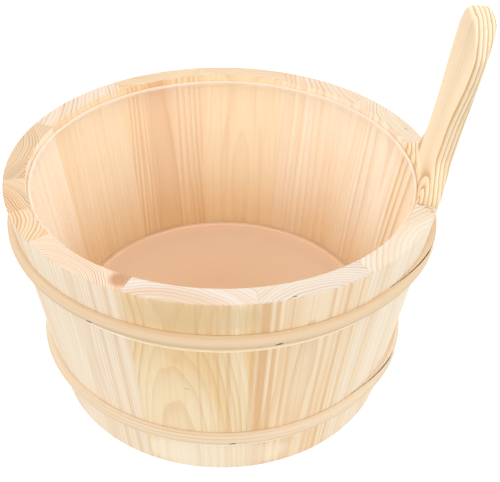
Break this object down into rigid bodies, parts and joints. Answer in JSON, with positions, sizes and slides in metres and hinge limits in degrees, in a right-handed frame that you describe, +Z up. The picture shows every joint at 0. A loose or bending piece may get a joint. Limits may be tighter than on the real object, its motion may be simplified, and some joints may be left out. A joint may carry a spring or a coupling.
{
  "type": "sauna bucket",
  "caption": "Round tapered stave bucket held by wooden hoops, with a tall stave as an upright handle and a milky lift-out plastic liner.",
  "frame": {"origin": "on the ground, in the middle of the part's footprint box; the bucket's own axis is at x -0.0065, y 0", "axes": "+Z up; +X from the middle of the bucket towards the handle stave; +Y to the left of the handle as seen from the bucket's axis"},
  "size_m": [0.2746, 0.2616, 0.2507],
  "materials": {
    "pine": "planed and sanded, bare",
    "bottom_pine": "planed, bare",
    "hoop_wood": "planed half-round, bare",
    "pin_steel": "plain wire",
    "liner_plastic": "milky, moulded"
  },
  "bodies": {
    "bucket": {"handle_stave": "pine", "stave_01": "pine", "stave_02": "pine", "stave_03": "pine", "stave_04": "pine", "stave_05": "pine", "stave_06": "pine", "stave_07": "pine", "stave_08": "pine", "stave_09": "pine", "stave_10": "pine", "stave_11": "pine", "stave_12": "pine", "bottom_board_1": "bottom_pine", "bottom_board_2": "bottom_pine", "bottom_board_3": "bottom_pine", "upper_hoop": "hoop_wood", "lower_hoop": "hoop_wood", "upper_hoop_pin_1": "pin_steel", "upper_hoop_pin_2": "pin_steel", "upper_hoop_pin_3": "pin_steel", "upper_hoop_pin_4": "pin_steel", "upper_hoop_pin_5": "pin_steel", "upper_hoop_pin_6": "pin_steel", "upper_hoop_pin_7": "pin_steel", "upper_hoop_pin_8": "pin_steel", "lower_hoop_pin_1": "pin_steel", "lower_hoop_pin_2": "pin_steel", "lower_hoop_pin_3": "pin_steel", "lower_hoop_pin_4": "pin_steel", "lower_hoop_pin_5": "pin_steel", "lower_hoop_pin_6": "pin_steel"},
    "liner": {"liner": "liner_plastic"}
  },
  "joints": [
    {"name": "liner_lift", "type": "slide", "parent": "bucket", "child": "liner", "axis": [0, 0, 1], "range_m": [0, 0.125]}
  ]
}
